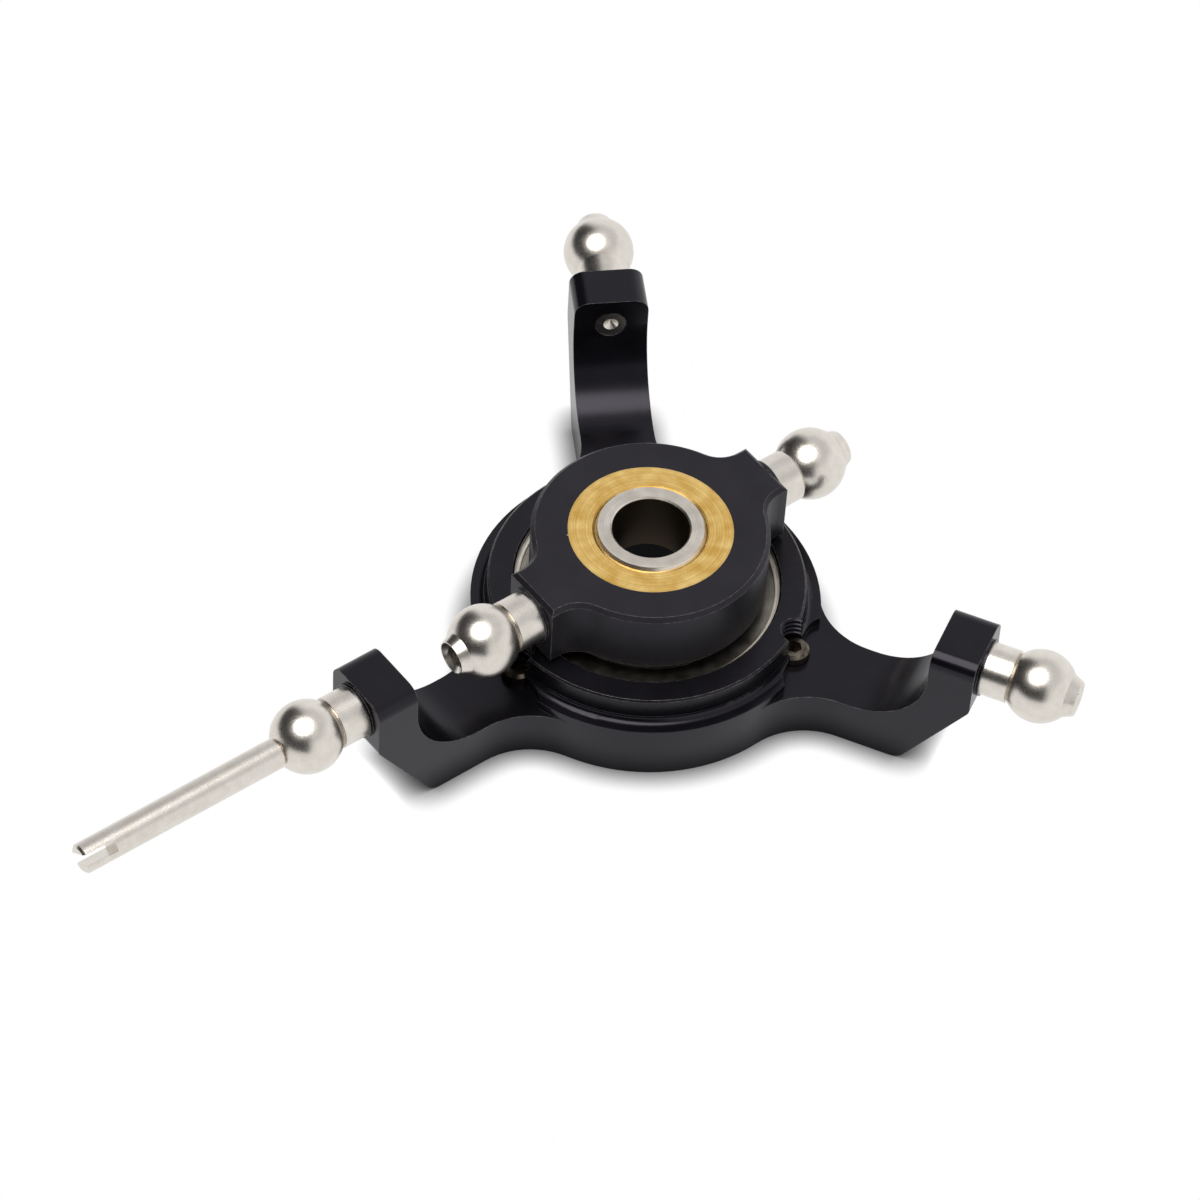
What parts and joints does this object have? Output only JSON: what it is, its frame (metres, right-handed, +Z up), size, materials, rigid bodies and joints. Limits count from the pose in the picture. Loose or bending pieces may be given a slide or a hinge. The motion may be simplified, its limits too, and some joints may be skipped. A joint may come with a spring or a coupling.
{
  "type": "helicopter swashplate",
  "caption": "Swashplate for a model helicopter: a fixed plate with upturned arms and link balls, a rotating hub in a ball bearing, and a uniball that slides on the mast.",
  "frame": {"origin": "centre of the uniball on the mast axis, about which the plate and hub tilt; the stud axes lie in its plane", "axes": "+Z up the mast towards the rotor head, +X along the arm with the anti-rotation pin, towards the tail, +Y to the left of someone looking along +X"},
  "size_m": [0.0597, 0.0522, 0.011],
  "materials": {
    "black_anodised": "black anodised, satin",
    "hub_anodised": "black anodised, satin",
    "bearing_steel": "ground and polished",
    "shield_steel": "rolled sheet",
    "nylon": "moulded, matt",
    "spring_steel": "phosphated spring steel",
    "race_brass": "turned, satin",
    "uniball_steel": "turned and polished",
    "stud_nickel": "satin nickel-plated",
    "pin_nickel": "satin nickel-plated",
    "screw_steel": "plain steel"
  },
  "bodies": {
    "plate": {"outer_plate": "black_anodised", "bearing_cap": "black_anodised", "bearing_outer_race": "bearing_steel", "bearing_shield_lower": "shield_steel", "bearing_shield_upper": "shield_steel", "outer_ball_stud_right": "stud_nickel", "outer_ball_stud_left": "stud_nickel", "anti_rotation_stud": "pin_nickel", "lock_screw_tail": "screw_steel", "lock_screw_right": "screw_steel", "lock_screw_left": "screw_steel"},
    "cage": {"bearing_cage": "nylon", "bearing_balls": "bearing_steel"},
    "hub": {"rotating_hub": "hub_anodised", "bearing_inner_race": "bearing_steel", "retaining_ring": "spring_steel", "race_ring_lower": "race_brass", "race_ring_upper": "race_brass"},
    "inner_studs": {"inner_ball_stud_tail": "stud_nickel", "inner_ball_stud_nose": "stud_nickel"},
    "uniball": {"uniball": "uniball_steel"}
  },
  "joints": [
    {"name": "hub_spin", "type": "hinge", "parent": "plate", "child": "hub", "pos_m": [0, 0, 0], "axis": [0, 0, 1], "continuous": true},
    {"name": "cage_spin", "type": "hinge", "parent": "plate", "child": "cage", "pos_m": [0, 0, 0], "axis": [0, 0, 1], "continuous": true},
    {"name": "uniball_roll", "type": "hinge", "parent": "hub", "child": "inner_studs", "pos_m": [0, 0, 0], "axis": [1, 0, 0], "range_deg": [-11, 11]},
    {"name": "uniball_pitch", "type": "hinge", "parent": "inner_studs", "child": "uniball", "pos_m": [0, 0, 0], "axis": [0, 1, 0], "range_deg": [-11, 11]}
  ],
  "couplings": [
    {"joint": "cage_spin", "follows": "hub_spin", "ratio": 0.44707}
  ]
}
